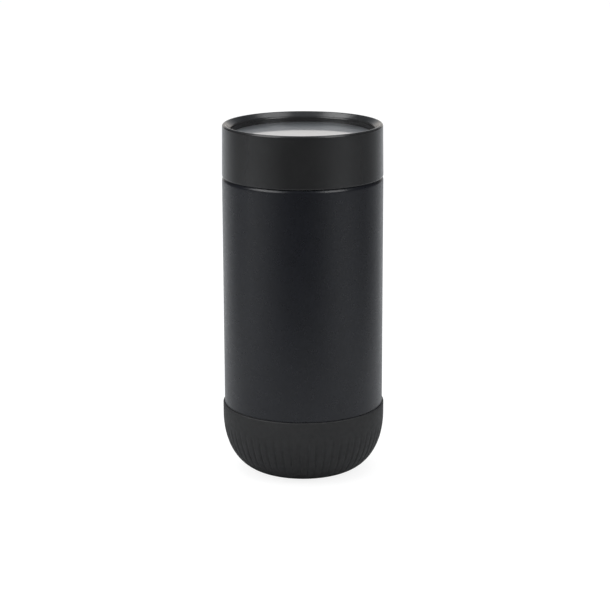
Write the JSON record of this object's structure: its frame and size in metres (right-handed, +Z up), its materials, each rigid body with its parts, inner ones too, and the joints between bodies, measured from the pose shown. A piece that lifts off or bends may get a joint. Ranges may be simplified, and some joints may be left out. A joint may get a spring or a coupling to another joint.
{
  "type": "insulated travel tumbler",
  "caption": "Double-wall steel travel tumbler with a screw lid, a press disc that opens a drink-from-any-side valve, and a ribbed soft boot.",
  "frame": {"origin": "centre of the foot, on the tumbler's axis, in the plane that it stands on", "axes": "+Z up along the axis to the drinking lip; -Y towards the latch wire; +X to the right of it"},
  "size_m": [0.0818, 0.0818, 0.1774],
  "materials": {
    "boot_silicone": "matt soft-touch silicone with shallow ribs",
    "powder_coat": "fine satin powder coat",
    "bare_steel": "pressed stainless, satin",
    "seal_metal": "dull brazed seal",
    "getter_alloy": "sintered, matt",
    "vessel_steel": "electropolished stainless with fine turning marks",
    "copper_foil": "thin copper foil, bright and slightly creased",
    "seal_silicone": "translucent food-grade silicone, satin",
    "collar_plastic": "moulded polypropylene, fine satin texture",
    "deck_plastic": "moulded polypropylene, satin",
    "spring_steel": "drawn stainless spring wire",
    "acetal": "natural acetal, satin",
    "screw_steel": "plain stainless",
    "adhesive": "pressure-sensitive film",
    "disc_steel": "satin stainless under a clear lacquer"
  },
  "bodies": {
    "vessel": {"rubber_boot": "boot_silicone", "outer_shell": "powder_coat", "shell_base": "bare_steel", "vacuum_seal_disc": "seal_metal", "getter": "getter_alloy", "inner_vessel": "vessel_steel", "copper_wrap": "copper_foil"},
    "gasket": {"vessel_gasket": "seal_silicone"},
    "lid": {"lid_collar": "collar_plastic", "valve_deck": "deck_plastic", "hub_cap": "deck_plastic", "return_spring": "spring_steel"},
    "valve": {"valve_carrier": "deck_plastic", "valve_stem": "acetal", "heart_cam": "acetal", "cam_screw": "screw_steel", "valve_seal": "seal_silicone", "disc_adhesive": "adhesive", "top_disc": "disc_steel"},
    "latch": {"latch_wire": "spring_steel"}
  },
  "joints": [
    {"name": "lid_rise", "type": "slide", "parent": "vessel", "child": "gasket", "axis": [0, 0, 1], "range_m": [0, 0.0201]},
    {"name": "lid_turn", "type": "hinge", "parent": "gasket", "child": "lid", "pos_m": [0, 0, 0.1616], "axis": [0, 0, 1], "range_deg": [0, 900]},
    {"name": "valve_press", "type": "slide", "parent": "lid", "child": "valve", "axis": [0, 0, 1], "range_m": [-0.004, 0], "stiffness_N_per_m": 380, "springref_m": 0.008, "deforming": ["return_spring"]},
    {"name": "latch_swing", "type": "hinge", "parent": "lid", "child": "latch", "pos_m": [0, -0.0032, 0.155], "axis": [0, 1, 0], "range_deg": [-17.5, 17.5]}
  ],
  "couplings": [
    {"joint": "lid_rise", "follows": "lid_turn", "m_per_rad": 0.0012732},
    {"joint": "latch_swing", "follows": "valve_press", "rad_per_m": -74.613}
  ]
}
